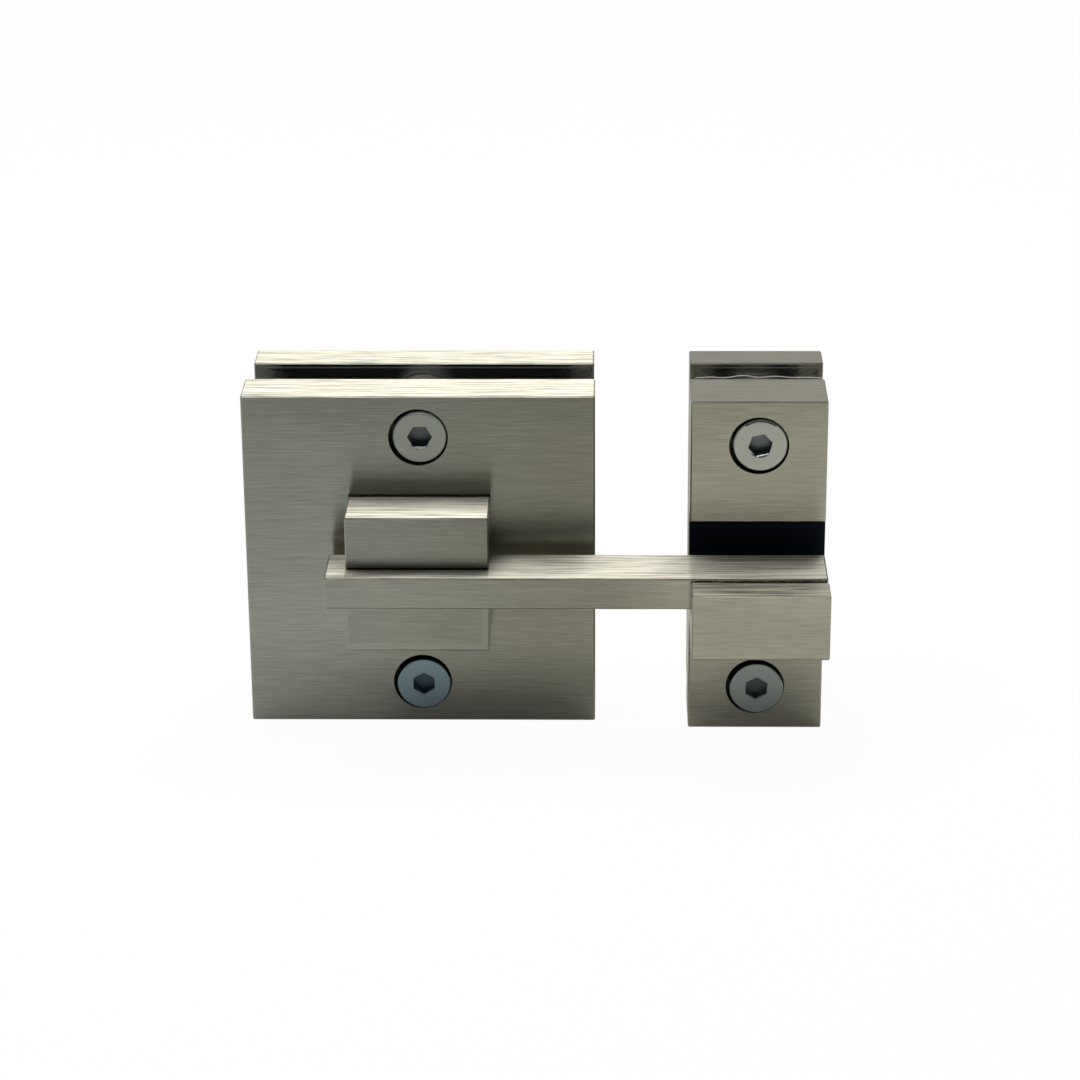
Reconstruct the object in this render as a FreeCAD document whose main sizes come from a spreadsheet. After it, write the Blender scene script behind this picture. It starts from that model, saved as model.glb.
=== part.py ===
"""Shower door latch: a turning bar on one glass panel that drops into a hooked keeper on the next.

Frame: +X to the right as seen from the front, +Y to the back, +Z up, millimetres. The origin is the
centre of the bottom of the whole latch. Both units stand with their bottom edges at Z = 0.

Each piece is drawn as seen from the front: its own x runs to the right, its own y up and its own z
towards the viewer, from the left, bottom and back of the piece.
"""
import FreeCAD, Part
import math
import os
import Sketcher

doc = FreeCAD.newDocument("ShowerDoorLatch")
sheet = doc.addObject("Spreadsheet::Sheet", "Sizes")

SIZES = (
    ("unit_height", 65, "both units: height of plates and keeper"),
    ("plate_width", 65, "latch unit: width of the front plate"),
    ("front_plate_thickness", 10, "latch unit: front plate"),
    ("back_plate_setback", 0.5, "latch unit: back plate's sides inside those of the front plate"),
    ("back_plate_thickness", 8, "latch unit: back plate"),
    ("latch_screw_inset", 8, "latch unit: screw centre from the plate's top or bottom edge"),
    ("glass_thickness", 8, "both units: the glass that they clamp"),
    ("gasket_thickness", 0.5, "both units: clear sheet on each side of the glass"),
    ("gasket_inset", 0.8, "both units: gasket's edge inside the metal's edge"),
    ("gasket_hole_gap", 0.5, "both units: radial gap of a gasket's hole round a sleeve"),
    ("edge_chamfer", 0.25, "broken edges of plates, block, bar and keeper"),
    ("screw_diameter", 6, "clamp screw: thread"),
    ("screw_head_diameter", 10, "clamp screw: low head"),
    ("screw_head_height", 4, "clamp screw: low head"),
    ("screw_socket_flats", 4, "clamp screw: hexagon across flats"),
    ("screw_socket_depth", 2.3, "clamp screw: depth of the hexagon"),
    ("screw_hole_gap", 0.3, "clamp screw: radial gap in its clearance hole"),
    ("screw_side_gap", 0.05, "clamp screw: what is left of that gap on the right, where it leans"),
    ("head_recess_gap", 0.5, "clamp screw: radial gap round its head"),
    ("head_sink", 0.2, "clamp screw: how far a tightened head lies below the face"),
    ("lower_screw_lift", 1.2, "clamp screw: how far the lower ones are left unscrewed"),
    ("latch_screw_room", 2.9, "latch unit: tightened screw's tip to the end of its tapped hole"),
    ("keeper_screw_room", 1.4, "keeper: tightened screw's tip to the end of its tapped hole"),
    ("head_chamfer", 0.2, "rim and tip chamfer of every screw"),
    ("thread_clearance", 0.05, "radial gap in a tapped hole"),
    ("fit_clearance", 0.05, "radial gap of a piece fixed in its bore"),
    ("post_diameter", 10, "tapped post through the glass"),
    ("post_end_gap", 0.4, "post's front end to the front plate"),
    ("post_shoulder", 1, "post: step down to its spigot in the back plate"),
    ("post_cover", 2.3, "back plate: metal left behind the spigot"),
    ("post_end_wall", 1.6, "post: metal left behind the tapped hole"),
    ("sleeve_bore_gap", 0.1, "radial gap between post and sleeve"),
    ("sleeve_wall", 0.9, "clear sleeve in the glass hole"),
    ("sleeve_end_gap", 0.2, "sleeve's end inside the glass face"),
    ("hub_size", 26.25, "turning block: side of its square front"),
    ("hub_thickness", 11.2, "turning block: front to back"),
    ("slot_depth", 7.7, "turning block: slot for the bar"),
    ("slot_clearance", 0.15, "turning block: gap above and below the bar"),
    ("end_float", 0.05, "turning parts: play along the pivot"),
    ("bar_height", 6, "bar: section height"),
    ("bar_depth", 12, "bar: section depth"),
    ("bar_overhang", 3.6, "bar: short end past the block"),
    ("bar_end_inset", 0.1, "bar: long end inside the keeper's far side"),
    ("bar_screw_edge", 4, "bar screw: centre from the block's side"),
    ("bar_screw_diameter", 3, "bar screw: thread"),
    ("bar_screw_hole_gap", 0.15, "bar screw: radial gap in its clearance hole"),
    ("bar_screw_head", 5.5, "bar screw: head diameter"),
    ("bar_screw_head_gap", 0.25, "bar screw: radial gap round its head"),
    ("bar_screw_head_height", 2, "bar screw: head height"),
    ("bar_screw_flats", 2, "bar screw: hexagon across flats"),
    ("bar_screw_socket_depth", 1.1, "bar screw: depth of the hexagon"),
    ("bar_screw_grip", 4.7, "bar screw: thread in the bar"),
    ("bar_tap_spare", 0.8, "tapped holes in the bar: depth past the screw's tip"),
    ("shoulder_diameter", 8, "pivot bolt: shoulder"),
    ("pivot_head_diameter", 13, "pivot bolt: head"),
    ("pivot_head_height", 2.4, "pivot bolt: head"),
    ("pivot_head_gap", 1.5, "pivot bolt: radial gap round its head"),
    ("pivot_head_cover", 1.15, "pivot bolt: head below the front plate's back"),
    ("pivot_thread_diameter", 5, "pivot bolt: thread"),
    ("pivot_hole_gap", 0.15, "pivot bolt: radial gap of the thread in the block"),
    ("pivot_grip", 5.5, "pivot bolt: thread in the bar"),
    ("pivot_socket_flats", 4, "pivot bolt: hexagon across flats"),
    ("pivot_socket_depth", 1.5, "pivot bolt: depth of the hexagon"),
    ("running_clearance", 0.05, "radial gap between shoulder and bush"),
    ("bush_wall", 1, "pivot bush"),
    ("washer_bore_gap", 0.3, "radial gap of washer and spring round the shoulder"),
    ("washer_diameter", 15, "thrust washer"),
    ("washer_thickness", 0.45, "thrust washer"),
    ("spring_diameter", 12.5, "disc spring"),
    ("spring_thickness", 0.5, "disc spring"),
    ("spring_cone", 0.3, "disc spring: rise from rim to bore"),
    ("stop_pin_gap", 0.5, "stop pin: from the thrust washer's rim"),
    ("stop_start_angle", 225, "stop pin at rest, anticlockwise from the right"),
    ("stop_travel", 90, "turn between the two ends of the groove"),
    ("stop_pin_diameter", 3, "stop pin"),
    ("stop_pin_seat", 4, "stop pin: depth in the block"),
    ("stop_pin_reach", 1.4, "stop pin: depth in the groove"),
    ("groove_floor_gap", 0.4, "stop groove: floor to the pin's end"),
    ("groove_clearance", 0.15, "stop groove: gap round the pin"),
    ("keeper_spacing", 17.5, "from the latch plate's edge to the keeper"),
    ("keeper_width", 25, "keeper"),
    ("keeper_back_thickness", 7.5, "keeper's back plate"),
    ("keeper_screw_inset", 8.5, "keeper: screw centre from its top or bottom edge"),
    ("keeper_gasket_rise", 0.6, "keeper's front gasket above the body's top"),
    ("keeper_bar_gap", 1, "keeper: body's face to the bar's back"),
    ("recess_rise", 6, "keeper: top of the bumper's recess above the bar"),
    ("recess_depth", 8, "keeper: depth of the bumper's recess"),
    ("bar_floor_gap", 1.5, "keeper: floor of the hook below the bar"),
    ("hook_arm", 5.2, "keeper: thickness of the hook's arm"),
    ("lip_gap", 1, "keeper: bar's front to the lip"),
    ("lip_drop", 0.2, "keeper: top of the lip below the bar's top"),
    ("lip_thickness", 6.7, "keeper: lip"),
    ("bumper_inset", 1, "rubber bumper: face behind the body's face"),
    ("bumper_clearance", 0.1, "rubber bumper: gap above and below"),
)


class Size:
    """A length or an angle: its number now and the formula that ties it to the sheet."""

    def __init__(self, number, formula):
        self.number = number
        self.formula = formula

    def joined(self, other, sign, number):
        return Size(number, f"({self.formula} {sign} {as_size(other).formula})")

    def __add__(self, other):
        return self.joined(other, "+", self.number + as_size(other).number)

    def __sub__(self, other):
        return self.joined(other, "-", self.number - as_size(other).number)

    def __mul__(self, other):
        return self.joined(other, "*", self.number * as_size(other).number)

    def __truediv__(self, other):
        return self.joined(other, "/", self.number / as_size(other).number)


def as_size(value):
    return value if isinstance(value, Size) else Size(value, str(value))


S = {}
for row, (alias, number, meaning) in enumerate(SIZES, start=1):
    sheet.set(f"A{row}", meaning)
    sheet.set(f"B{row}", str(number))
    sheet.setAlias(f"B{row}", alias)
    S[alias] = Size(number, f"Sizes.{alias}")
doc.recompute()

ZERO = as_size(0)
LATCH_SOCKET_TURNS = (30, 0)
KEEPER_SOCKET_TURNS = (32, 47)
TO_FRONT = FreeCAD.Rotation(FreeCAD.Vector(1, 0, 0), 90)
TO_BACK = FreeCAD.Rotation(FreeCAD.Vector(1, 0, 0), -90)

# Shared distances, all worked out from the sheet
glass_gap = S["glass_thickness"] + S["gasket_thickness"] * 2
latch_depth = S["front_plate_thickness"] + glass_gap + S["back_plate_thickness"]
counterbore_depth = S["screw_head_height"] + S["head_sink"]
side_play = S["screw_hole_gap"] - S["screw_side_gap"]
hub_lift = S["washer_thickness"] + S["end_float"]
hub_web = S["hub_thickness"] - S["slot_depth"]
hook_channel = S["keeper_bar_gap"] + S["bar_depth"] + S["lip_gap"]
hook_reach = hook_channel + S["lip_thickness"]
keeper_lead = hub_lift + hub_web - S["keeper_bar_gap"]
keeper_thickness = S["front_plate_thickness"] + keeper_lead
bar_tail = S["hub_size"] / 2 + S["bar_overhang"]
bar_screw_offset = S["hub_size"] / 2 - S["bar_screw_edge"]
spring_height = S["spring_thickness"] + S["spring_cone"]
pivot_recess_depth = spring_height + S["end_float"] + S["pivot_head_height"] + S["pivot_head_cover"]
pivot_web = S["front_plate_thickness"] - pivot_recess_depth
bush_bore = S["shoulder_diameter"] + S["running_clearance"] * 2
bush_diameter = bush_bore + S["bush_wall"] * 2
washer_bore = S["shoulder_diameter"] + S["washer_bore_gap"] * 2
stop_radius = (S["washer_diameter"] + S["stop_pin_diameter"]) / 2 + S["stop_pin_gap"]
post_length = glass_gap - S["post_end_gap"]
sleeve_bore = S["post_diameter"] + S["sleeve_bore_gap"] * 2
sleeve_diameter = sleeve_bore + S["sleeve_wall"] * 2

# Where things are in the frame
pivot_x = ZERO - (S["keeper_spacing"] + S["keeper_width"] + side_play) / 2
pivot_z = S["unit_height"] / 2
face_y = (keeper_lead + hook_reach - latch_depth) / 2
glass_side_y = face_y + S["front_plate_thickness"]
front_gasket_y = glass_side_y + S["gasket_thickness"]
back_plate_y = glass_side_y + glass_gap
keeper_x = pivot_x + S["plate_width"] / 2 + S["keeper_spacing"]
keeper_face_y = glass_side_y - keeper_thickness
hub_back_y = face_y - hub_lift
bar_back_y = hub_back_y - hub_web
bar_low, bar_high = pivot_z - S["bar_height"] / 2, pivot_z + S["bar_height"] / 2
hook_floor = bar_low - S["bar_floor_gap"]
recess_top = bar_high + S["recess_rise"]

# The clamping pieces of each unit stand a little to the right, as its screws lean in their holes
latch_clamp_x = pivot_x + side_play
keeper_clamp_x = keeper_x + S["keeper_width"] / 2 + side_play


def place(piece, x, y, z, rotation=TO_FRONT, roll=0):
    """Put a piece's own origin at x, y, z; roll turns it about its own z axis first."""
    turned = rotation.multiply(FreeCAD.Rotation(FreeCAD.Vector(0, 0, 1), roll))
    piece.Placement = FreeCAD.Placement(FreeCAD.Vector(x.number, y.number, z.number), turned)
    for axis, value in (("x", x), ("y", y), ("z", z)):
        piece.setExpression(f"Placement.Base.{axis}", value.formula)


def new_body(label):
    body = doc.addObject("PartDesign::Body", label)
    body.Label = label
    return body


def new_sketch(body, name, plane="XY_Plane", lift=ZERO):
    """A sketch on one of the body's own planes, or lift above it."""
    sketch = body.newObject("Sketcher::SketchObject", name)
    support = next(part for part in body.Origin.OriginFeatures if part.Role == plane)
    sketch.AttachmentSupport = [(support, "")]
    sketch.MapMode = "FlatFace"
    if lift is not ZERO:
        sketch.AttachmentOffset = FreeCAD.Placement(FreeCAD.Vector(0, 0, lift.number), FreeCAD.Rotation())
        sketch.setExpression("AttachmentOffset.Base.z", lift.formula)
    return sketch


def bind(sketch, constraint, value):
    sketch.setExpression(f"Constraints[{sketch.addConstraint(constraint)}]", value.formula)


def fix_point(sketch, shape, end, x, y):
    """Hold one point of a sketch at x, y, or leave out a coordinate that is None."""
    for kind, axis, value in (("DistanceX", -2, x), ("DistanceY", -1, y)):
        if value is ZERO:
            sketch.addConstraint(Sketcher.Constraint("PointOnObject", shape, end, axis))
        elif value is not None:
            bind(sketch, Sketcher.Constraint(kind, -1, 1, shape, end, value.number), value)


def outline(sketch, corners):
    """A closed outline of straight edges through corners, each an (x, y) pair of sizes."""
    points = [FreeCAD.Vector(x.number, y.number, 0) for x, y in corners]
    count = len(corners)
    lines = [
        sketch.addGeometry(Part.LineSegment(points[i], points[(i + 1) % count]))
        for i in range(count)
    ]
    for i in range(count):
        sketch.addConstraint(Sketcher.Constraint("Coincident", lines[i], 2, lines[(i + 1) % count], 1))
    for i, (x, y) in enumerate(corners):
        before = corners[i - 1]
        upright, level = before[0] is x, before[1] is y
        if upright and i > 0:
            sketch.addConstraint(Sketcher.Constraint("Vertical", lines[i - 1]))
        if level and i > 0:
            sketch.addConstraint(Sketcher.Constraint("Horizontal", lines[i - 1]))
        fix_point(sketch, lines[i], 1, None if upright and i > 0 else x, None if level and i > 0 else y)


def box_outline(sketch, left, bottom, right, top):
    outline(sketch, ((left, bottom), (right, bottom), (right, top), (left, top)))


def circles(sketch, diameter, centres):
    for x, y in centres:
        centre = FreeCAD.Vector(x.number, y.number, 0)
        shape = sketch.addGeometry(Part.Circle(centre, FreeCAD.Vector(0, 0, 1), diameter.number / 2))
        fix_point(sketch, shape, 3, x, y)
        bind(sketch, Sketcher.Constraint("Diameter", shape, diameter.number), diameter)


def hexagon(sketch, flats):
    """A regular hexagon about the sketch's origin with a corner on its x axis."""
    corner_radius = flats / math.sqrt(3)
    circle = Part.Circle(FreeCAD.Vector(), FreeCAD.Vector(0, 0, 1), corner_radius.number)
    rim = sketch.addGeometry(circle, True)
    sketch.addConstraint(Sketcher.Constraint("Coincident", rim, 3, -1, 1))
    bind(sketch, Sketcher.Constraint("Radius", rim, corner_radius.number), corner_radius)
    turns = [math.radians(60 * i) for i in range(6)]
    points = [FreeCAD.Vector(math.cos(a), math.sin(a), 0) * corner_radius.number for a in turns]
    sides = [sketch.addGeometry(Part.LineSegment(points[i], points[(i + 1) % 6])) for i in range(6)]
    for i in range(6):
        sketch.addConstraint(Sketcher.Constraint("Coincident", sides[i], 2, sides[(i + 1) % 6], 1))
        sketch.addConstraint(Sketcher.Constraint("PointOnObject", sides[i], 1, rim))
    for side in sides[1:]:
        sketch.addConstraint(Sketcher.Constraint("Equal", sides[0], side))
    sketch.addConstraint(Sketcher.Constraint("PointOnObject", sides[0], 1, -1))


def arc_slot(sketch, centre_x, centre_y, radius, half_width, start, travel):
    """A round-ended slot along an arc, for a pin that swings about the centre."""
    up = FreeCAD.Vector(0, 0, 1)
    centre = FreeCAD.Vector(centre_x.number, centre_y.number, 0)
    first, last = math.radians(start.number), math.radians((start + travel).number)

    def swing(angle):
        return centre + FreeCAD.Vector(math.cos(angle), math.sin(angle), 0) * radius.number

    def arc(middle, size, low, high):
        return sketch.addGeometry(Part.ArcOfCircle(Part.Circle(middle, up, size), low, high))

    outer = arc(centre, (radius + half_width).number, first, last)
    inner = arc(centre, (radius - half_width).number, first, last)
    end_cap = arc(swing(last), half_width.number, last, last + math.pi)
    start_cap = arc(swing(first), half_width.number, first + math.pi, first + 2 * math.pi)
    fix_point(sketch, outer, 3, centre_x, centre_y)
    sketch.addConstraint(Sketcher.Constraint("Coincident", inner, 3, outer, 3))
    for one, one_end, two, two_end in (
        (outer, 2, end_cap, 1), (inner, 2, end_cap, 2), (inner, 1, start_cap, 1), (outer, 1, start_cap, 2),
    ):
        sketch.addConstraint(Sketcher.Constraint("Tangent", one, one_end, two, two_end))
    bind(sketch, Sketcher.Constraint("Radius", outer, (radius + half_width).number), radius + half_width)
    bind(sketch, Sketcher.Constraint("Radius", end_cap, half_width.number), half_width)
    for cap, angle in ((start_cap, start), (end_cap, start + travel)):
        reach = swing(math.radians(angle.number))
        spoke = sketch.addGeometry(Part.LineSegment(centre, reach), True)
        sketch.addConstraint(Sketcher.Constraint("Coincident", spoke, 1, outer, 3))
        sketch.addConstraint(Sketcher.Constraint("Coincident", spoke, 2, cap, 3))
        turn = Sketcher.Constraint("Angle", spoke, math.radians(angle.number))
        bind(sketch, turn, Size(angle.number, f"({angle.formula}) * 1 deg"))


def pad(body, sketch, length):
    feature = body.newObject("PartDesign::Pad", f"{body.Name}_pad")
    feature.Profile = sketch
    feature.setExpression("Length", length.formula)
    sketch.Visibility = False
    return feature


def cut(body, sketch, depth=None, forwards=True):
    """Cut from the sketch towards the viewer, or backwards; without a depth, through the piece."""
    doc.recompute()
    before = body.Shape.Volume
    feature = body.newObject("PartDesign::Pocket", f"{sketch.Name}_cut")
    feature.Profile = sketch
    feature.Reversed = forwards
    if depth is None:
        feature.Type = "ThroughAll"
    else:
        feature.setExpression("Length", depth.formula)
    doc.recompute()
    if not body.Shape.Volume < before:
        raise RuntimeError(f"{sketch.Name} cuts nothing")
    return feature


def revolve(body, corners):
    """A turned piece: corners are (radius, distance along the piece's z axis) pairs."""
    sketch = new_sketch(body, f"{body.Name}_profile", "XZ_Plane")
    outline(sketch, corners)
    feature = body.newObject("PartDesign::Revolution", f"{body.Name}_turned")
    feature.Profile = sketch
    feature.ReferenceAxis = (sketch, ["V_Axis"])
    feature.Angle = 360
    return feature


def convex_edges(shape):
    """Names of the straight edges that stick out, so a chamfer takes material off."""
    names = []
    step = 0.01
    for number, edge in enumerate(shape.Edges, start=1):
        middle = edge.valueAt((edge.FirstParameter + edge.LastParameter) / 2)
        faces = shape.ancestorsOfType(edge, Part.Face)
        one, two = (face.normalAt(*face.Surface.parameter(middle)) for face in faces)
        if not shape.isInside(middle + (one - two) * step, step / 10, True):
            names.append(f"Edge{number}")
    return names


def break_edges(body, feature):
    doc.recompute()
    chamfer = body.newObject("PartDesign::Chamfer", f"{body.Name}_edges")
    chamfer.Base = (feature, convex_edges(feature.Shape))
    chamfer.setExpression("Size", S["edge_chamfer"].formula)


def group(label, members):
    """Several separate solids under one name."""
    compound = doc.addObject("Part::Compound", label)
    compound.Label = label
    compound.Links = members
    return compound


def screw_heights(inset):
    return inset, S["unit_height"] - inset


def cap_screw(label, head, head_height, thread, length, flats, socket_depth):
    """A low-head screw whose own z runs from the face of its head to its tip."""
    body = new_body(label)
    rim = S["head_chamfer"]
    head_radius, radius = head / 2, thread / 2
    tip = head_height + length
    face, middle = ZERO, ZERO
    revolve(body, (
        (middle, face), (head_radius - rim, face), (head_radius, rim), (head_radius, head_height),
        (radius, head_height), (radius, tip - rim), (radius - rim, tip), (middle, tip),
    ))
    socket = new_sketch(body, f"{label}_hexagon")
    hexagon(socket, flats)
    cut(body, socket, socket_depth)
    return body


def ring(label, bore, diameter, length):
    body = new_body(label)
    inner, outer = bore / 2, diameter / 2
    revolve(body, ((inner, ZERO), (outer, ZERO), (outer, length), (inner, length)))
    return body


def flat_plate(label, width, height, thickness):
    body = new_body(label)
    sketch = new_sketch(body, f"{label}_outline")
    box_outline(sketch, ZERO, ZERO, width, height)
    return body, pad(body, sketch, thickness)


def screw_recesses(body, centres, thickness):
    """Clearance holes with counterbores in the front face."""
    holes = new_sketch(body, f"{body.Name}_screw_holes")
    circles(holes, S["screw_diameter"] + S["screw_hole_gap"] * 2, centres)
    cut(body, holes)
    recesses = new_sketch(body, f"{body.Name}_head_recesses", lift=thickness)
    circles(recesses, S["screw_head_diameter"] + S["head_recess_gap"] * 2, centres)
    cut(body, recesses, counterbore_depth, forwards=False)


def make_front_plate():
    width, thickness = S["plate_width"], S["front_plate_thickness"]
    body, block = flat_plate("latch_front_plate", width, S["unit_height"], thickness)
    break_edges(body, block)
    middle = width / 2
    screw_recesses(body, [(middle, z) for z in screw_heights(S["latch_screw_inset"])], thickness)
    bore = new_sketch(body, "bush_bore")
    circles(bore, bush_diameter + S["fit_clearance"] * 2, [(middle, pivot_z)])
    cut(body, bore)
    recess = new_sketch(body, "pivot_recess")
    circles(recess, S["pivot_head_diameter"] + S["pivot_head_gap"] * 2, [(middle, pivot_z)])
    cut(body, recess, pivot_recess_depth)
    groove = new_sketch(body, "stop_groove", lift=thickness)
    half_width = S["stop_pin_diameter"] / 2 + S["groove_clearance"]
    arc_slot(groove, middle, pivot_z, stop_radius, half_width, S["stop_start_angle"], S["stop_travel"])
    cut(body, groove, S["stop_pin_reach"] + S["groove_floor_gap"], forwards=False)
    place(body, pivot_x - middle, glass_side_y, ZERO)
    return body


def make_back_plate(label, centre_x, width, thickness, inset):
    """A back plate with the blind bores that hold the posts."""
    body, block = flat_plate(label, width, S["unit_height"], thickness)
    break_edges(body, block)
    bores = new_sketch(body, f"{label}_post_bores", lift=thickness)
    bore = S["post_diameter"] + (S["fit_clearance"] - S["post_shoulder"]) * 2
    circles(bores, bore, [(width / 2, z) for z in screw_heights(inset)])
    cut(body, bores, thickness - S["post_cover"] + S["fit_clearance"], forwards=False)
    place(body, centre_x - width / 2, back_plate_y + thickness, ZERO)
    return body


def make_gasket(label, centre_x, back_y, width, inset, rise=None):
    """A clear sheet with a hole round each post; rise lifts its top edge above the metal."""
    edge = S["gasket_inset"]
    height = S["unit_height"] - edge + (rise or ZERO - edge)
    body, _ = flat_plate(label, width - edge * 2, height, S["gasket_thickness"])
    holes = new_sketch(body, f"{label}_holes")
    centres = [(width / 2 - edge, z - edge) for z in screw_heights(inset)]
    circles(holes, sleeve_diameter + S["gasket_hole_gap"] * 2, centres)
    cut(body, holes)
    place(body, centre_x - width / 2 + edge, back_y, edge)
    return body


def tap_depth(back_thickness):
    """Depth of the tapped hole in a post that ends in a back plate of that thickness."""
    return post_length + back_thickness - S["post_cover"] - S["post_end_wall"]


def make_post(label, back_thickness):
    body = new_body(label)
    tap, radius = S["screw_diameter"] / 2 + S["thread_clearance"], S["post_diameter"] / 2
    spigot, end = radius - S["post_shoulder"], post_length + back_thickness - S["post_cover"]
    front, middle, tap_end = ZERO, ZERO, tap_depth(back_thickness)
    revolve(body, (
        (tap, front), (radius, front), (radius, post_length), (spigot, post_length),
        (spigot, end), (middle, end), (middle, tap_end), (tap, tap_end),
    ))
    return body


def make_clamps(prefix, centre_x, inset, face_thickness, back_thickness, screw_room, rolls):
    """The two clamp screws of a unit, the posts that they screw into and the posts' sleeves."""
    screw_y = glass_side_y - face_thickness + S["head_sink"]
    post_y = glass_side_y + S["post_end_gap"]
    sleeve_y = glass_side_y + S["gasket_thickness"] + S["sleeve_end_gap"]
    sleeve_length = S["glass_thickness"] - S["sleeve_end_gap"] * 2
    tip_y = post_y + tap_depth(back_thickness) - screw_room
    screw_length = tip_y - screw_y - S["screw_head_height"]
    lifts = (S["lower_screw_lift"], ZERO)
    screws, posts, sleeves = [], [], []
    for name, z, lift, roll in zip(("lower", "upper"), screw_heights(inset), lifts, rolls):
        screw = cap_screw(
            f"{prefix}_{name}_screw", S["screw_head_diameter"], S["screw_head_height"],
            S["screw_diameter"], screw_length, S["screw_socket_flats"], S["screw_socket_depth"],
        )
        place(screw, centre_x, screw_y - lift, z, TO_BACK, roll)
        post = make_post(f"{prefix}_{name}_post", back_thickness)
        place(post, centre_x, post_y, z, TO_BACK)
        sleeve = ring(f"{prefix}_{name}_sleeve", sleeve_bore, sleeve_diameter, sleeve_length)
        place(sleeve, centre_x, sleeve_y, z, TO_BACK)
        screws.append(screw)
        posts.append(post)
        sleeves.append(sleeve)
    return [
        group(f"{prefix}_clamp_screws", screws),
        group(f"{prefix}_threaded_posts", posts),
        group(f"{prefix}_post_sleeves", sleeves),
    ]


def make_hub():
    """The turning block: a square with a slot across its front, drilled from the back."""
    body = new_body("turn_hub")
    size, front = S["hub_size"], S["hub_thickness"]
    middle = size / 2
    half_slot = S["bar_height"] / 2 + S["slot_clearance"]
    low, high = middle - half_slot, middle + half_slot
    profile = new_sketch(body, "hub_profile", "YZ_Plane")
    outline(profile, (
        (ZERO, ZERO), (size, ZERO), (size, front), (high, front),
        (high, hub_web), (low, hub_web), (low, front), (ZERO, front),
    ))
    break_edges(body, pad(body, profile, size))
    bolt_hole = new_sketch(body, "hub_bolt_hole")
    circles(bolt_hole, S["pivot_thread_diameter"] + S["pivot_hole_gap"] * 2, [(middle, middle)])
    cut(body, bolt_hole)
    sides = [(middle - bar_screw_offset, middle), (middle + bar_screw_offset, middle)]
    screw_holes = new_sketch(body, "hub_screw_holes")
    circles(screw_holes, S["bar_screw_diameter"] + S["bar_screw_hole_gap"] * 2, sides)
    cut(body, screw_holes)
    recesses = new_sketch(body, "hub_screw_recesses")
    circles(recesses, S["bar_screw_head"] + S["bar_screw_head_gap"] * 2, sides)
    cut(body, recesses, S["bar_screw_head_height"] + S["head_sink"])
    pin_x, pin_z = pin_offset()
    pin_hole = new_sketch(body, "hub_pin_hole")
    circles(pin_hole, S["stop_pin_diameter"] + S["fit_clearance"] * 2, [(middle + pin_x, middle + pin_z)])
    cut(body, pin_hole, S["stop_pin_seat"] + S["fit_clearance"])
    place(body, pivot_x - middle, hub_back_y, pivot_z - middle)
    return body


def pin_offset():
    """From the pivot to the stop pin at rest."""
    angle = math.radians(S["stop_start_angle"].number)
    turn = f"{S['stop_start_angle'].formula} * 1 deg"
    return (
        stop_radius * Size(math.cos(angle), f"cos({turn})"),
        stop_radius * Size(math.sin(angle), f"sin({turn})"),
    )


def make_bar():
    length = bar_tail + keeper_x + S["keeper_width"] - S["bar_end_inset"] - pivot_x
    body, block = flat_plate("latch_bar", length, S["bar_height"], S["bar_depth"])
    break_edges(body, block)
    middle = S["bar_height"] / 2
    bolt_tap = new_sketch(body, "bar_bolt_tap")
    circles(bolt_tap, S["pivot_thread_diameter"] + S["thread_clearance"] * 2, [(bar_tail, middle)])
    cut(body, bolt_tap, S["pivot_grip"] + S["bar_tap_spare"])
    screw_taps = new_sketch(body, "bar_screw_taps")
    sides = [(bar_tail - bar_screw_offset, middle), (bar_tail + bar_screw_offset, middle)]
    circles(screw_taps, S["bar_screw_diameter"] + S["thread_clearance"] * 2, sides)
    cut(body, screw_taps, S["bar_screw_grip"] + S["bar_tap_spare"])
    place(body, pivot_x - bar_tail, bar_back_y, bar_low)
    return body


def make_bar_screws():
    length = hub_web - S["head_sink"] - S["bar_screw_head_height"] + S["bar_screw_grip"]
    screws = []
    for name, shift in (("left", ZERO - bar_screw_offset), ("right", bar_screw_offset)):
        screw = cap_screw(
            f"{name}_bar_screw", S["bar_screw_head"], S["bar_screw_head_height"],
            S["bar_screw_diameter"], length, S["bar_screw_flats"], S["bar_screw_socket_depth"],
        )
        place(screw, pivot_x + shift, hub_back_y - S["head_sink"], pivot_z)
        screws.append(screw)
    return group("bar_fixing_screws", screws)


def make_pivot_bolt():
    """A shoulder bolt whose head lies in the front plate's back and whose thread ends in the bar."""
    body = new_body("pivot_bolt")
    rim, head, shoulder = S["head_chamfer"], S["pivot_head_diameter"] / 2, S["shoulder_diameter"] / 2
    thread, neck = S["pivot_thread_diameter"] / 2, S["pivot_head_height"]
    seat = neck + S["end_float"] + spring_height + pivot_web + hub_lift
    tip = seat + hub_web + S["pivot_grip"]
    face, middle = ZERO, ZERO
    revolve(body, (
        (middle, face), (head - rim, face), (head, rim), (head, neck), (shoulder, neck),
        (shoulder, seat), (thread, seat), (thread, tip - rim), (thread - rim, tip), (middle, tip),
    ))
    socket = new_sketch(body, "pivot_hexagon")
    hexagon(socket, S["pivot_socket_flats"])
    cut(body, socket, S["pivot_socket_depth"])
    place(body, pivot_x, hub_back_y + seat, pivot_z)
    return body


def make_disc_spring():
    body = new_body("disc_spring")
    inner, outer = washer_bore / 2, S["spring_diameter"] / 2
    low, thickness = S["spring_cone"], S["spring_thickness"]
    revolve(body, ((inner, low), (outer, ZERO), (outer, thickness), (inner, spring_height)))
    place(body, pivot_x, face_y + pivot_web, pivot_z, TO_BACK)
    return body


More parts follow.
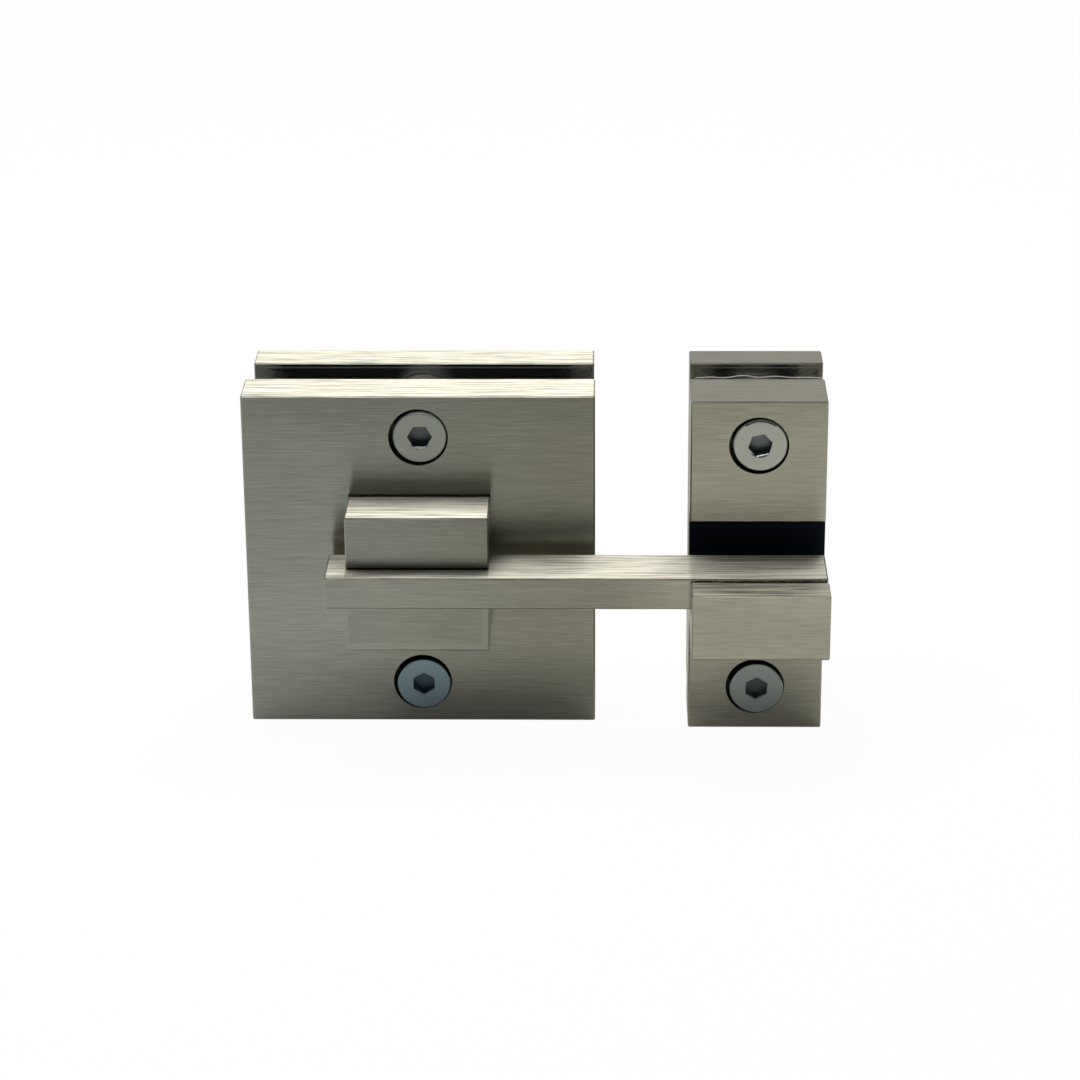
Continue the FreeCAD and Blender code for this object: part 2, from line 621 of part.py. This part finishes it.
def make_keeper_body():
    """The upright body and its J-shaped hook, one profile from the side, and its screw holes."""
    body = new_body("keeper_body")
    top, front = S["unit_height"], keeper_thickness
    recess_wall, lip_back, lip_front = front - S["recess_depth"], front + hook_channel, front + hook_reach
    underside, lip_top = hook_floor - S["hook_arm"], bar_high - S["lip_drop"]
    profile = new_sketch(body, "keeper_profile", "YZ_Plane")
    outline(profile, (
        (ZERO, ZERO), (top, ZERO), (top, front), (recess_top, front), (recess_top, recess_wall),
        (hook_floor, recess_wall), (hook_floor, lip_back), (lip_top, lip_back), (lip_top, lip_front),
        (underside, lip_front), (underside, front), (ZERO, front),
    ))
    break_edges(body, pad(body, profile, S["keeper_width"]))
    centres = [(S["keeper_width"] / 2, z) for z in screw_heights(S["keeper_screw_inset"])]
    screw_recesses(body, centres, front)
    place(body, keeper_x, glass_side_y, ZERO)
    return body


def make_bumper():
    gap = S["bumper_clearance"]
    height = recess_top - hook_floor - gap * 2
    thickness = S["recess_depth"] - S["bumper_inset"]
    body, _ = flat_plate("rubber_bumper", S["keeper_width"], height, thickness)
    place(body, keeper_x, keeper_face_y + S["recess_depth"], hook_floor + gap)
    return body


def make_stop_pin():
    pin_x, pin_z = pin_offset()
    body = new_body("stop_pin")
    sketch = new_sketch(body, "pin_circle")
    circles(sketch, S["stop_pin_diameter"], [(ZERO, ZERO)])
    pad(body, sketch, S["stop_pin_seat"] + hub_lift + S["stop_pin_reach"])
    place(body, pivot_x + pin_x, face_y + S["stop_pin_reach"], pivot_z + pin_z)
    return body


def make_latch_unit():
    bush = ring("pivot_bush", bush_bore, bush_diameter, pivot_web)
    place(bush, pivot_x, face_y, pivot_z, TO_BACK)
    washer = ring("thrust_washer", washer_bore, S["washer_diameter"], S["washer_thickness"])
    place(washer, pivot_x, face_y, pivot_z)
    width, inset = S["plate_width"] - S["back_plate_setback"] * 2, S["latch_screw_inset"]
    back_thickness = S["back_plate_thickness"]
    return [
        make_front_plate(),
        make_back_plate("latch_back_plate", latch_clamp_x, width, back_thickness, inset),
        make_gasket("latch_front_gasket", latch_clamp_x, front_gasket_y, width, inset),
        make_gasket("latch_back_gasket", latch_clamp_x, back_plate_y, width, inset),
        *make_clamps(
            "latch", latch_clamp_x, inset, S["front_plate_thickness"], back_thickness,
            S["latch_screw_room"], LATCH_SOCKET_TURNS,
        ),
        bush,
        washer,
        make_disc_spring(),
    ]


def make_turning_parts():
    return [make_hub(), make_bar(), make_bar_screws(), make_pivot_bolt(), make_stop_pin()]


def make_keeper_unit():
    width, inset, back_thickness = S["keeper_width"], S["keeper_screw_inset"], S["keeper_back_thickness"]
    rise = S["keeper_gasket_rise"]
    return [
        make_keeper_body(),
        make_back_plate("keeper_back_plate", keeper_clamp_x, width, back_thickness, inset),
        make_gasket("keeper_front_gasket", keeper_clamp_x, front_gasket_y, width, inset, rise),
        make_gasket("keeper_back_gasket", keeper_clamp_x, back_plate_y, width, inset),
        *make_clamps(
            "keeper", keeper_clamp_x, inset, keeper_thickness, back_thickness,
            S["keeper_screw_room"], KEEPER_SOCKET_TURNS,
        ),
        make_bumper(),
    ]


def check_and_export(pieces):
    doc.recompute()
    for thing in doc.Objects:
        if "Invalid" in thing.State or "Error" in thing.State:
            raise RuntimeError(f"{thing.Name} has failed: {thing.State}")
    for piece in pieces:
        if piece.Shape.isNull() or not piece.Shape.isValid():
            raise RuntimeError(f"{piece.Label} has no valid shape")
    os.makedirs("parts", exist_ok=True)
    for piece in pieces:
        piece.Shape.exportStep(f"parts/{piece.Label}.step")
        box = piece.Shape.BoundBox
        print(f"{piece.Label}: {len(piece.Shape.Solids)} solid(s), {piece.Shape.Volume:.1f} mm3, "
              f"x {box.XMin:.2f} to {box.XMax:.2f}, y {box.YMin:.2f} to {box.YMax:.2f}, "
              f"z {box.ZMin:.2f} to {box.ZMax:.2f}")


check_and_export(make_latch_unit() + make_turning_parts() + make_keeper_unit())
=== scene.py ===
"""Looks of the shower door latch: brushed nickel clamp plates, a turning bar and a hooked keeper.

Everything is in metres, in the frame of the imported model: +X right, +Y back, +Z up.
"""
import math
from collections import namedtuple

import bpy
from mathutils import Matrix, Vector


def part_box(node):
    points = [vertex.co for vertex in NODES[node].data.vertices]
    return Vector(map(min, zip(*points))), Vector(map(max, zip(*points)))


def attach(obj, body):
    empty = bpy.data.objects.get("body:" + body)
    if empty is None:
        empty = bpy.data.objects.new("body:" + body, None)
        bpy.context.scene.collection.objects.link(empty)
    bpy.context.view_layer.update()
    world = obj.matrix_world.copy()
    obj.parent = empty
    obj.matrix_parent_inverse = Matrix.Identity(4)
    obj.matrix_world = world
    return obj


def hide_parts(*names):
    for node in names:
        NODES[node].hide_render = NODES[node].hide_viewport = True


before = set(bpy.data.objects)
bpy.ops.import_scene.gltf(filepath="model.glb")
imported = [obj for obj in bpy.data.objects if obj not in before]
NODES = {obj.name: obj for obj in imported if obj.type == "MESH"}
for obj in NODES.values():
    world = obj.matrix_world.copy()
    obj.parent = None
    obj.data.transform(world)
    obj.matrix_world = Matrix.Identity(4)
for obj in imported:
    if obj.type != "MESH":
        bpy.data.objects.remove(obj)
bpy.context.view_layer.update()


# Shader maths

class Shade:
    """A value that varies over a surface, written in Python arithmetic."""

    def __init__(self, finish, socket):
        self.finish = finish
        self.socket = socket

    def maths(self, operation, *values):
        return self.finish.node("ShaderNodeMath", {"operation": operation}, dict(enumerate(values)))

    def __add__(self, other):
        return self.maths("ADD", self, other)

    def __sub__(self, other):
        return self.maths("SUBTRACT", self, other)

    def __rsub__(self, other):
        return self.maths("SUBTRACT", other, self)

    def __mul__(self, other):
        return self.maths("MULTIPLY", self, other)

    __radd__ = __add__
    __rmul__ = __mul__

    def ramp(self, low, high):
        """0 at low, 1 at high, smooth between; low may be above high."""
        settings = {"interpolation_type": "SMOOTHSTEP"}
        return self.finish.node("ShaderNodeMapRange", settings, {"Value": self, "From Min": low, "From Max": high})

    def size(self):
        return self.maths("ABSOLUTE", self)

    def or_more(self, other):
        return self.maths("MAXIMUM", self, other)


class Finish:
    """The nodes of a material or of the world."""

    def __init__(self, owner):
        owner.use_nodes = True
        self.owner = owner
        self.tree = owner.node_tree
        self.tree.nodes.clear()

    def node(self, kind, settings=None, inputs=None, output=0):
        made = self.tree.nodes.new(kind)
        for name, value in (settings or {}).items():
            setattr(made, name, value)
        for name, value in (inputs or {}).items():
            if isinstance(value, Shade):
                self.tree.links.new(value.socket, made.inputs[name])
            else:
                made.inputs[name].default_value = value
        return Shade(self, made.outputs[output])

    def split(self, output):
        """The three parts of the object's coordinates or of the surface's normal."""
        whole = self.node("ShaderNodeTexCoord", output=output)
        return [self.node("ShaderNodeSeparateXYZ", inputs={0: whole}, output=i) for i in range(3)]

    def streaks(self, scale, detail=2.0, roughness=0.5):
        """Noise with a count per metre along each axis."""
        point = self.node("ShaderNodeTexCoord", output="Object")
        stretched = self.node("ShaderNodeMapping", inputs={"Vector": point, "Scale": scale})
        inputs = {"Vector": stretched, "Scale": 1.0, "Detail": detail, "Roughness": roughness}
        return self.node("ShaderNodeTexNoise", inputs=inputs)

    def blend(self, amount, low, high):
        """A colour between two colours."""
        return self.node("ShaderNodeMix", {"data_type": "RGBA"}, {0: amount, 6: low, 7: high}, output=2)

    def mixed(self, amount, low, high):
        """A surface between two surfaces."""
        return self.node("ShaderNodeMixShader", inputs={0: amount, 1: low, 2: high})

    def ray(self, kind):
        """1 where a ray of that kind arrives, 0 for other rays."""
        return self.node("ShaderNodeLightPath", output=f"Is {kind} Ray")

    def leaning(self, forward, up=0.0):
        """The surface's normal, leaning to the front and upwards by about these amounts."""
        normal = self.node("ShaderNodeNewGeometry", output="Normal")
        lean = self.node("ShaderNodeCombineXYZ", inputs={"Y": 0 - forward, "Z": up})
        tilted = self.node("ShaderNodeVectorMath", {"operation": "ADD"}, {0: normal, 1: lean})
        return self.node("ShaderNodeVectorMath", {"operation": "NORMALIZE"}, {0: tilted})

    def bump(self, height, depth, **normal):
        return self.node("ShaderNodeBump", inputs={"Height": height, "Distance": depth, **normal})

    def surface(self, **inputs):
        named = {name.replace("_", " ").title().replace("Ior", "IOR"): value for name, value in inputs.items()}
        return self.node("ShaderNodeBsdfPrincipled", inputs=named)

    def done(self, shader):
        kind = "ShaderNodeOutputWorld" if isinstance(self.owner, bpy.types.World) else "ShaderNodeOutputMaterial"
        self.tree.links.new(shader.socket, self.tree.nodes.new(kind).inputs["Surface"])
        return self.owner


def material(name):
    return Finish(bpy.data.materials.new(name))


def colour(red, green, blue):
    return (red, green, blue, 1.0)


def toned(tone, share):
    """The same hue, that many times as light, up to white."""
    share = min(share, 1 / max(tone[:3]))
    return colour(*(channel * share for channel in tone[:3]))


def disc(x, z, centre, radius):
    """1 inside a disc that faces front, 0 outside."""
    edge = 0.00008
    across, up = x - centre[0], z - centre[1]
    return (across * across + up * up).ramp((radius + edge) ** 2, (radius - edge) ** 2)


# Places on the model, and the colours that several finishes share

Unit = namedtuple("Unit", "middle half_width face_y recesses screws")   # a screw: its centre and its head's front
LATCH = Unit(
    middle=-0.0213, half_width=0.0325, face_y=-0.00165,
    recesses=((-0.021375, 0.008), (-0.021375, 0.057)),
    screws=(((-0.021125, 0.008), -0.00265), ((-0.021125, 0.057), -0.00145)),
)
KEEPER = Unit(
    middle=0.0413, half_width=0.0125, face_y=-0.00465,
    recesses=((0.041125, 0.0085), (0.041125, 0.0565)),
    screws=(((0.041375, 0.0085), -0.00565), ((0.041375, 0.0565), -0.00445)),
)
PIVOT_X = -0.021375
BLOCK_TOP = 0.0456
BLOCK_EDGE = 0.01325        # just outside the turning block's side, from the pivot
BLOCK_FRONT = -0.0132
BAR_TOP, BAR_BOTTOM = 0.0355, 0.0295
HOOK_MOUTH = -0.0180        # between the bar's front and the lip's back
RECESS_RADIUS = 0.0056
SOCKET_RADIUS = 0.00236
HEAD_FLAT_RADIUS = 0.0045
# the painted shade between the plates fades over this distance from their ends
SHADE_END = 0.008           # how far in from their ends the faces between the plates grow lighter

# colours of painted shade: black in cracks, hollows, the hook and on shadowed tops, blue between the plates and in the
# sockets
SHADE_BLACK = colour(0.01, 0.011, 0.01)
RECESS_SHADE_BLACK = colour(0.01, 0.011, 0.012)
GAP_SHADE_BLUE = colour(0.03, 0.07, 0.12)
SOCKET_SHADE_BLUE = colour(0.03, 0.05, 0.08)
NICKEL = colour(0.53, 0.51, 0.44)
# lighter and warmer than NICKEL: painted light on the keeper
KEEPER_LIT_NICKEL = colour(0.60, 0.57, 0.48)
WHITE = colour(1, 1, 1)


# Finishes

def upright_nickel(f, tone, unit, block):
    """Fine lines across, with painted shade bluish between the plates and dark in recesses, along the block's top and
    in the hook; on the block, painted highlights and shade by the bar.
    """
    x, y, z = f.split("Object")
    _, ny, nz = f.split("Normal")
    fine = f.streaks((150, 6500, 6500), 2.0, 0.7)
    broad = f.streaks((45, 1700, 1700), 2.0, 0.6)
    cloud = f.streaks((25, 60, 60), 1.0)
    shade = (fine - 0.5) * 1.2 + (broad - 0.5) * 0.35 + (cloud - 0.5) * 0.5
    tint = f.blend(shade + 0.5, toned(tone, 0.66), toned(tone, 1.34))
    if block:
        # painted highlight: lighter strips along the block's right and bottom edges, below the bar
        edge_highlight = x.ramp(-0.0097, -0.0095).or_more(z.ramp(0.0210, 0.0207))
        below_bar = z.ramp(BAR_BOTTOM - 0.00005, BAR_BOTTOM - 0.00025)
        tint = f.blend(edge_highlight * below_bar * 0.22, tint, toned(tone, 1.5))
        # painted shade: dark on the block's downward faces just above the bar's top
        above_bar = z.ramp(BAR_TOP - 0.00015, BAR_TOP + 0.00005) * z.ramp(BAR_TOP + 0.00075, BAR_TOP + 0.00055)
        tint = f.blend(nz.ramp(-0.2, -0.5) * above_bar * 0.9, tint, SHADE_BLACK)

    # painted shade between the plates, fading towards their open ends
    between_plates = y.ramp(0.0082, 0.0083) * y.ramp(0.0175, 0.0174) * ny.size().ramp(0.5, 0.6)
    ends = (x - unit.middle).size().ramp(unit.half_width - SHADE_END, unit.half_width)
    tint = f.blend(between_plates * (0.6 - ends * 0.5), tint, GAP_SHADE_BLUE)

    # painted shade inside the recesses round the screws
    behind_face = y.ramp(unit.face_y + 0.0001, unit.face_y + 0.0005)
    hollow = behind_face * y.ramp(unit.face_y + 0.0065, unit.face_y + 0.0060)
    for centre in unit.recesses:
        tint = f.blend(disc(x, z, centre, RECESS_RADIUS) * hollow * 0.92, tint, RECESS_SHADE_BLACK)
    # painted shade: dark on the inside faces of the hook
    hook_shade = ny.ramp(0.5, 0.8) * y.ramp(HOOK_MOUTH, HOOK_MOUTH - 0.0004)
    tint = f.blend(hook_shade * 0.9, tint, SHADE_BLACK)
    # painted shade: a dark line on the plate along the turning block's top
    if not block:   # dark line where the turning block stands before the plate
        block_top_shade = (x - PIVOT_X).size().ramp(BLOCK_EDGE, BLOCK_EDGE - 0.00015)
        block_top_shade = block_top_shade * (z - BLOCK_TOP).size().ramp(0.00045, 0.0002) * y.ramp(-0.0014, -0.0016)
        tint = f.blend(block_top_shade * 0.9, tint, SHADE_BLACK)

    roughness = 0.22 + (broad - 0.5) * 0.1 - between_plates * (0.14 - ends * 0.5)
    return f.surface(
        base_color=tint, metallic=1.0, roughness=roughness, normal=f.bump(fine, 0.000008),
        anisotropic=0.9, anisotropic_rotation=0.25,
    )


def level_nickel(f, tone, coarseness, smooth_above, lean, low_top_shade):
    """Coarse lines whose brush marks lean to the front, except on a smooth top; painted lighter than upright faces,
    with painted shade below the unit's top.
    """
    x, y, z = f.split("Object")
    lines = f.streaks((70, 2400, 2400), 3.0, 0.7)
    coarse = z.ramp(smooth_above, smooth_above - 0.003)
    shade = (lines - 0.5) * (coarse * 2.2 + 0.5)
    # on average lighter than on upright faces: painted light on the level faces
    tint = f.blend(shade + 0.5, toned(tone, 0.5), toned(tone, 1.9))

    # painted shade: level faces below the unit's top are darkened by the share given
    low = z.ramp(0.06, 0.055)
    # painted shadow of the turning block on the bar's top in front of it
    block_shadow = (x - PIVOT_X).size().ramp(BLOCK_EDGE, BLOCK_EDGE - 0.00025)
    block_shadow = block_shadow * y.ramp(BLOCK_FRONT, BLOCK_FRONT - 0.0002) * y.ramp(-0.0176, -0.0155)
    # painted shadow of the keeper on the bar's top where it lies in the keeper
    keeper_shadow = x.ramp(0.0280, 0.0290) * y.ramp(HOOK_MOUTH - 0.0002, HOOK_MOUTH + 0.0002)
    keeper_shadow = keeper_shadow * (z - BAR_TOP).size().ramp(0.0004, 0.0002)
    tint = f.blend(low * low_top_shade + block_shadow * 0.25 + keeper_shadow * 0.16, tint, SHADE_BLACK)

    roughness = coarse * (coarseness - 0.23) + 0.23 + (lines - 0.5) * 0.2
    marks = f.leaning(coarse * (low * lean + 0.13))
    normal = f.bump(lines * (coarse * 0.85 + 0.15), 0.00002, Normal=marks)
    return f.surface(base_color=tint, metallic=1.0, roughness=roughness, normal=normal)


def brushed_nickel(name, tone, unit, coarseness=0.56, smooth_above=1.0, lean=0.12, low_top_shade=0.4, block=False):
    """Nickel with lines across, fine on upright faces and coarse on level ones.

    Below the top of the unit, level faces lean more to the front by lean and are darkened as painted shade by
    low_top_shade.
    """
    f = material(name)
    upright_faces = upright_nickel(f, tone, unit, block)
    level_faces = level_nickel(f, tone, coarseness, smooth_above, lean, low_top_shade)
    level = f.split("Normal")[2].ramp(0.6, 0.68)
    return f.done(f.mixed(level, upright_faces, level_faces))


def screw_steel(name, screws, floor_reflection_tone, high_tone):
    """Satin steel, bluer towards the floor as a painted reflection of the shaded floor, with painted shade black round
    the head and blue in the hexagon, and glints on rim and hexagon.
    """
    f = material(name)
    x, y, z = f.split("Object")
    _, ny, nz = f.split("Normal")
    grain = f.streaks((1500, 1500, 1500), 2.0)
    # bluer and darker towards the floor: a painted reflection of the shaded floor
    tint = f.blend(z.ramp(0.02, 0.045), floor_reflection_tone, high_tone)
    tint = f.blend((grain - 0.5) * 0.8, tint, colour(0.8, 0.8, 0.8))
    low_down = z.ramp(0.035, 0.03)
    mouths, arcs = 0, 0
    for centre, front in screws:
        middle = centre[1]
        socket, head = disc(x, z, centre, SOCKET_RADIUS), disc(x, z, centre, RECESS_RADIUS)
        # painted shade: black on the head's side behind its rim
        rim = 0.00022 - z.ramp(middle, middle + 0.002) * low_down * 0.00017
        behind_rim = y.ramp(rim + front, rim + (front + 0.0001))
        tint = f.blend(behind_rim * (head - socket) * 0.93, tint, RECESS_SHADE_BLACK)
        # painted shade: dark blue inside the hexagon socket, except on its upward faces
        in_socket = y.ramp(front + 0.00015, front + 0.0004) * socket * (1 - nz.ramp(0.3, 0.6))
        tint = f.blend(in_socket * 0.7, tint, SOCKET_SHADE_BLUE)
        mouths = socket * y.ramp(front + 0.0007, front + 0.0005) * nz.ramp(0.75, 0.9) + mouths
        brow = (head - disc(x, z, centre, HEAD_FLAT_RADIUS)) * z.ramp(middle + 0.0037, middle + 0.0038)
        chin = socket * z.ramp(middle - 0.0015, middle - 0.0018) * y.ramp(front + 0.0002, front + 0.0001)
        arcs = brow + chin + arcs
    arcs = arcs * (ny.ramp(-0.9, -0.97) * (1 - low_down))
    normal = f.bump(grain * (1 - arcs), 0.000004, Normal=f.leaning(mouths, arcs))
    roughness = 0.34 + grain * 0.12 - arcs * 0.24 - mouths * 0.24
    return f.done(f.surface(base_color=tint, metallic=1.0, roughness=roughness, normal=normal))


def turned_post():
    f = material("post metal")
    grain = f.streaks((1200, 1200, 2600), 2.0)
    tint = f.blend(grain, colour(0.34, 0.28, 0.21), colour(0.52, 0.45, 0.36))
    return f.done(f.surface(
        base_color=tint, metallic=1.0, roughness=0.3 + grain * 0.15, normal=f.bump(grain, 0.000008),
    ))


def clear_vinyl(name, cloudiness):
    """Soft clear sheet; its cut edges, which face up, may be cloudy."""
    f = material(name)
    cloud = f.streaks((180, 180, 180), 2.0)
    edge = f.split("Normal")[2].size().ramp(0.3, 0.8)
    tint = f.blend(cloud, colour(0.50, 0.53, 0.50), colour(0.66, 0.68, 0.65))
    alpha = edge * cloudiness + cloud * 0.05 + 0.02
    return f.done(f.surface(base_color=tint, metallic=0.0, roughness=0.14 + cloud * 0.12, alpha=alpha, ior=1.45))


def black_rubber():
    f = material("black rubber")
    grain = f.streaks((2200, 2200, 2200), 3.0)
    tint = f.blend(grain, colour(0.0025, 0.007, 0.018), colour(0.007, 0.015, 0.033))
    return f.done(f.surface(
        base_color=tint, metallic=0.0, roughness=0.62 + grain * 0.15, normal=f.bump(grain, 0.00002),
        specular_ior_level=0.25,
    ))


def bearing_plastic():
    f = material("white bearing plastic")
    grain = f.streaks((900, 900, 900), 2.0)
    tint = f.blend(grain, colour(0.74, 0.74, 0.70), colour(0.86, 0.86, 0.82))
    return f.done(f.surface(
        base_color=tint, metallic=0.0, roughness=0.42 + grain * 0.1, normal=f.bump(grain, 0.00001),
    ))


def dress(finish, *names):
    for name in names:
        slots = NODES[name].data.materials
        slots.clear()
        slots.append(finish)


latch_nickel = brushed_nickel("brushed nickel", NICKEL, LATCH)
hub_nickel = brushed_nickel("brushed nickel of the hub", toned(NICKEL, 0.93), LATCH, low_top_shade=0.22, block=True)
keeper_nickel = brushed_nickel(
    "brushed nickel of the keeper", KEEPER_LIT_NICKEL, KEEPER, coarseness=0.38, smooth_above=0.05, lean=-0.13, low_top_shade=0.0,
)
# each screw steel: its tone near the floor, a painted reflection of the shaded floor, then its tone higher up
latch_screw_steel = screw_steel(
    "screw steel of the latch", LATCH.screws, colour(0.43, 0.58, 0.66), colour(0.68, 0.69, 0.63),
)
keeper_screw_steel = screw_steel(
    "screw steel of the keeper", KEEPER.screws, colour(0.56, 0.62, 0.62), colour(0.82, 0.81, 0.77),
)
vinyl, cloudy_vinyl = clear_vinyl("clear vinyl", 0.06), clear_vinyl("cloudy vinyl", 0.5)

dress(latch_nickel, "latch_front_plate", "latch_back_plate", "latch_bar")
dress(hub_nickel, "turn_hub")
dress(keeper_nickel, "keeper_body", "keeper_back_plate")
dress(latch_screw_steel, "latch_clamp_screws", "bar_fixing_screws", "pivot_bolt", "stop_pin", "disc_spring")
dress(keeper_screw_steel, "keeper_clamp_screws")
dress(turned_post(), "latch_threaded_posts", "keeper_threaded_posts")
dress(vinyl, "latch_front_gasket", "latch_back_gasket", "keeper_back_gasket", "latch_post_sleeves",
      "keeper_post_sleeves")
dress(cloudy_vinyl, "keeper_front_gasket")
dress(black_rubber(), "rubber_bumper")
dress(bearing_plastic(), "pivot_bush", "thrust_washer")


# The keeper's front gasket, cut by hand: its top edge waves above the body

LOWEST_CUT, HIGHEST_WAVE = 0.06512, 0.00046     # the body's top is at 65 mm
WAVES = (       # where along x, how wide and how high
    (0.0325, 0.0012, 0.00015), (0.0385, 0.0020, 0.00045),
    (0.0445, 0.0022, 0.00028), (0.0500, 0.0016, 0.0001),
)


def edge_height(x):
    """Height of the gasket's cut edge at x."""
    rise = sum(height * math.exp(-((x - middle) / width) ** 2) for middle, width, height in WAVES)
    return LOWEST_CUT + min(HIGHEST_WAVE, rise)


def make_wavy_gasket():
    lo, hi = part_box("keeper_front_gasket")
    bpy.ops.object.select_all(action="DESELECT")
    middle = ((lo[0] + hi[0]) / 2, lo[1], (lo[2] + hi[2]) / 2)
    bpy.ops.mesh.primitive_grid_add(
        x_subdivisions=46, y_subdivisions=6, size=1, location=middle, rotation=(math.pi / 2, 0, 0),
    )
    sheet = bpy.context.object
    sheet.name = "keeper_front_gasket_cut"
    sheet.dimensions = (hi[0] - lo[0], hi[2] - lo[2], 0)
    bpy.ops.object.transform_apply(location=True, rotation=True, scale=True)
    top = max(v.co.z for v in sheet.data.vertices)
    columns = sorted({round(v.co.x, 6) for v in sheet.data.vertices})
    for column in columns:
        bpy.ops.object.mode_set(mode="EDIT")
        bpy.ops.mesh.select_all(action="DESELECT")
        bpy.ops.object.mode_set(mode="OBJECT")
        for v in sheet.data.vertices:
            v.select = abs(v.co.x - column) < 1e-5 and v.co.z > top - 1e-5
        bpy.ops.object.mode_set(mode="EDIT")
        bpy.ops.transform.translate(value=(0, 0, edge_height(column) - top))
        bpy.ops.object.mode_set(mode="OBJECT")
    thickness = sheet.modifiers.new("thickness", "SOLIDIFY")
    thickness.thickness = hi[1] - lo[1]
    thickness.offset = -1
    bpy.ops.object.modifier_apply(modifier="thickness")
    bpy.ops.object.mode_set(mode="EDIT")
    bpy.ops.mesh.select_all(action="SELECT")
    bpy.ops.mesh.normals_make_consistent(inside=False)
    bpy.ops.object.mode_set(mode="OBJECT")
    bpy.ops.object.shade_smooth_by_angle(angle=math.radians(40))
    sheet.data.materials.append(cloudy_vinyl)
    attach(sheet, "fixed_units")
    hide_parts("keeper_front_gasket")


# Floor, light and camera

def make_floor():
    """White to the camera; what the metal mirrors of it is greyer, with painted light and shade: lighter on the right
    and dark well in front of the latch.
    """
    bpy.ops.object.select_all(action="DESELECT")
    bpy.ops.mesh.primitive_plane_add(size=8.0, location=(0, 0, -0.00005))
    floor = bpy.context.object
    floor.name = "floor"
    f = material("pale floor")
    camera, glossy, clear = f.ray("Camera"), f.ray("Glossy"), f.ray("Transmission")
    x, back, _ = f.split("Object")
    # painted shade: the mirrored floor is dark well in front of the latch
    near = back.ramp(-0.29, -0.19)
    # painted light and shade on the mirrored floor: bluish grey on the left, darker and browner in the middle, lighter
    # on the right and lighter still further in front on the right
    floor_light_and_shade = f.blend(x.ramp(-0.045, 0.005), colour(0.39, 0.425, 0.42), colour(0.345, 0.35, 0.31))
    right = x.ramp(0.014, 0.028)
    floor_light_and_shade = f.blend(right, floor_light_and_shade, colour(0.43, 0.435, 0.395))
    floor_light_and_shade = f.blend(right * back.ramp(-0.07, -0.13), floor_light_and_shade, colour(0.63, 0.645, 0.57))
    pale = f.blend(camera, f.blend(near, colour(0.04, 0.05, 0.05), floor_light_and_shade), colour(0.85, 0.85, 0.85))
    lit = f.node("ShaderNodeBsdfDiffuse", inputs={"Color": pale})
    white = f.node("ShaderNodeEmission", inputs={"Color": WHITE, "Strength": 1.0})
    share = camera * 0.96 + glossy * near * 0.08 + clear * 0.9
    floor.data.materials.append(f.done(f.mixed(share, lit, white)))


def make_world():
    """A room that is grey behind the latch and dark and bluish in front of it, with a white backdrop."""
    world = bpy.data.worlds.new("studio")
    bpy.context.scene.world = world
    f = Finish(world)
    behind = f.split("Generated")[1].ramp(-0.2, 0.5)
    camera, glossy, clear = f.ray("Camera"), f.ray("Glossy"), f.ray("Transmission")
    room = f.blend(behind, colour(0.018, 0.028, 0.038), colour(0.18, 0.18, 0.175))
    tone = f.blend(camera + glossy * behind * 0.2 + clear * behind, room, WHITE)
    f.done(f.node("ShaderNodeBackground", inputs={"Color": tone, "Strength": 1.0}))


def make_lamp(name, position, size, power, tint):
    """A flat lamp aimed at the middle of the latch."""
    lamp = bpy.data.lights.new(name, "AREA")
    lamp.shape = "RECTANGLE"
    lamp.size, lamp.size_y = size
    lamp.energy = power
    lamp.color = tint
    holder = bpy.data.objects.new(name, lamp)
    holder.location = position
    holder.rotation_euler = (Vector((0, 0, 0.03)) - Vector(position)).to_track_quat("-Z", "Y").to_euler()
    bpy.context.scene.collection.objects.link(holder)


def make_camera():
    """The photograph's view: 590 mm in front, 270 mm up, looking 21.6 degrees down."""
    place = (0.013865, -0.59062, 0.27003)
    yaw, pitch, roll = (math.radians(a) for a in (-1.26, 21.60, -0.39))
    focal_length, picture_width, film_width = 3411, 1080, 36.0     # the first two in pixels
    ahead = Vector((math.sin(yaw) * math.cos(pitch), math.cos(yaw) * math.cos(pitch), -math.sin(pitch)))
    right = Vector((math.cos(yaw), -math.sin(yaw), 0))
    up = right.cross(ahead)
    right, up = (math.cos(roll) * right + math.sin(roll) * up, math.cos(roll) * up - math.sin(roll) * right)
    camera = bpy.data.objects.new("camera", bpy.data.cameras.new("camera"))
    camera.data.sensor_width = film_width
    camera.data.lens = film_width * focal_length / picture_width
    camera.data.clip_start = 0.01
    rows = [(right[i], up[i], -ahead[i], place[i]) for i in range(3)]
    camera.matrix_world = Matrix((*rows, (0, 0, 0, 1)))
    bpy.context.scene.collection.objects.link(camera)
    bpy.context.scene.camera = camera


make_wavy_gasket()
make_floor()
make_world()
make_lamp("back softbox", (-0.12, 0.2, 0.96), (1.0, 0.33), 12.0, (1.0, 1.0, 0.95))
make_lamp("front strip", (-0.19, -0.318, 0.92), (0.7, 0.05), 0.22, (1.0, 0.99, 0.97))
make_camera()
bpy.context.scene.view_settings.view_transform = "Standard"
